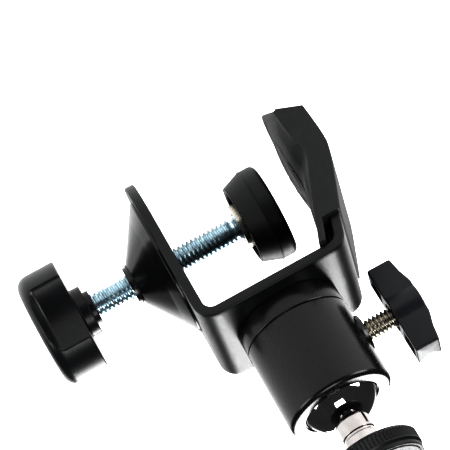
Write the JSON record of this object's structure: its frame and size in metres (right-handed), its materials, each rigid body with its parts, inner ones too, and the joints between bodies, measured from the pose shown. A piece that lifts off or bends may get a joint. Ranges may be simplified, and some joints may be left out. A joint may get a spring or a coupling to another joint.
{
  "type": "table clamp with ball head",
  "caption": "Table clamp made of a bent steel strip, with a clamp screw, star knob, swivel pad, rubber jaw boot and a lockable ball head on its back.",
  "frame": {"origin": "on the clamp screw's axis, where a clamped tube or board meets the fixed jaw", "axes": "+X along the clamp screw towards its star knob, +Z along the ball head's axis away from the jaws, Y across the strip"},
  "size_m": [0.1001, 0.047, 0.1232],
  "materials": {
    "frame_steel": "black powder coat, satin",
    "boss_paint": "black paint, gloss",
    "boot_rubber": "moulded rubber, matt",
    "pad_rubber": "moulded rubber, matt with parting line",
    "knob_plastic": "moulded black plastic, satin",
    "wing_plastic": "moulded black plastic, satin",
    "rod_zinc": "rolled thread, bright zinc with a blue tint",
    "set_nickel": "rolled thread, nickel, warm grey",
    "bush_steel": "blackened steel",
    "insert_brass": "turned brass",
    "cup_steel": "pressed steel, zinc plated",
    "head_alloy": "black anodised alloy, semi-gloss",
    "cradle_alloy": "turned alloy",
    "seat_acetal": "black acetal",
    "shoe_brass": "turned brass",
    "ball_chrome": "polished chrome plate",
    "stem_chrome": "polished chrome plate",
    "platform_alloy": "black anodised alloy, knurled rim",
    "facing_rubber": "ribbed rubber facing",
    "stud_steel": "rolled thread, bright steel",
    "base_screw_steel": "zinc plated steel"
  },
  "bodies": {
    "frame": {"bracket": "frame_steel", "screw_boss": "boss_paint", "thread_bush": "bush_steel", "jaw_boot": "boot_rubber", "head_base": "head_alloy", "base_screw": "base_screw_steel", "housing_shell": "head_alloy", "ball_cradle": "cradle_alloy"},
    "pad_slider": {"swivel_ball": "rod_zinc"},
    "clamp_screw": {"clamp_rod": "rod_zinc", "star_knob": "knob_plastic", "knob_insert": "insert_brass"},
    "swivel_pad": {"rubber_pad": "pad_rubber", "pad_cup": "cup_steel"},
    "seat": {"seat_ring": "seat_acetal"},
    "ball": {"ball": "ball_chrome"},
    "platform": {"stem": "stem_chrome", "platform": "platform_alloy", "platform_facing": "facing_rubber", "mount_stud": "stud_steel"},
    "brake": {"brake_shoe": "shoe_brass"},
    "wing_screw": {"set_screw": "set_nickel", "wing_insert": "insert_brass", "wing_knob": "wing_plastic"}
  },
  "joints": [
    {"name": "pad_travel", "type": "slide", "parent": "frame", "child": "pad_slider", "axis": [-1, 0, 0], "range_m": [-0.01799, 0.00494]},
    {"name": "clamp_screw_turn", "type": "hinge", "parent": "pad_slider", "child": "clamp_screw", "pos_m": [0.0229, 0, 0], "axis": [-1, 0, 0], "range_deg": [-4600, 1270]},
    {"name": "pad_swivel", "type": "hinge", "parent": "pad_slider", "child": "swivel_pad", "pos_m": [0.0229, 0, 0], "axis": [0, 1, 0], "range_deg": [-6, 6]},
    {"name": "ball_pan", "type": "hinge", "parent": "frame", "child": "seat", "pos_m": [0.0263, 0, 0.0597], "axis": [0, 0, 1], "continuous": true},
    {"name": "ball_tilt", "type": "hinge", "parent": "seat", "child": "ball", "pos_m": [0.0263, 0, 0.0597], "axis": [0, 1, 0], "range_deg": [-35, 35]},
    {"name": "platform_spin", "type": "hinge", "parent": "ball", "child": "platform", "pos_m": [0.0263, 0, 0.0597], "axis": [0, 0, 1], "continuous": true},
    {"name": "brake_travel", "type": "slide", "parent": "frame", "child": "brake", "axis": [-1, 0, 0], "range_m": [0, 0.0019]},
    {"name": "wing_turn", "type": "hinge", "parent": "brake", "child": "wing_screw", "pos_m": [0.0133, 0, 0.0493], "axis": [-1, 0, 0], "range_deg": [0, 538]}
  ],
  "couplings": [
    {"joint": "clamp_screw_turn", "follows": "pad_travel", "rad_per_m": 4453},
    {"joint": "brake_travel", "follows": "wing_turn", "m_per_rad": 0.00020213}
  ]
}
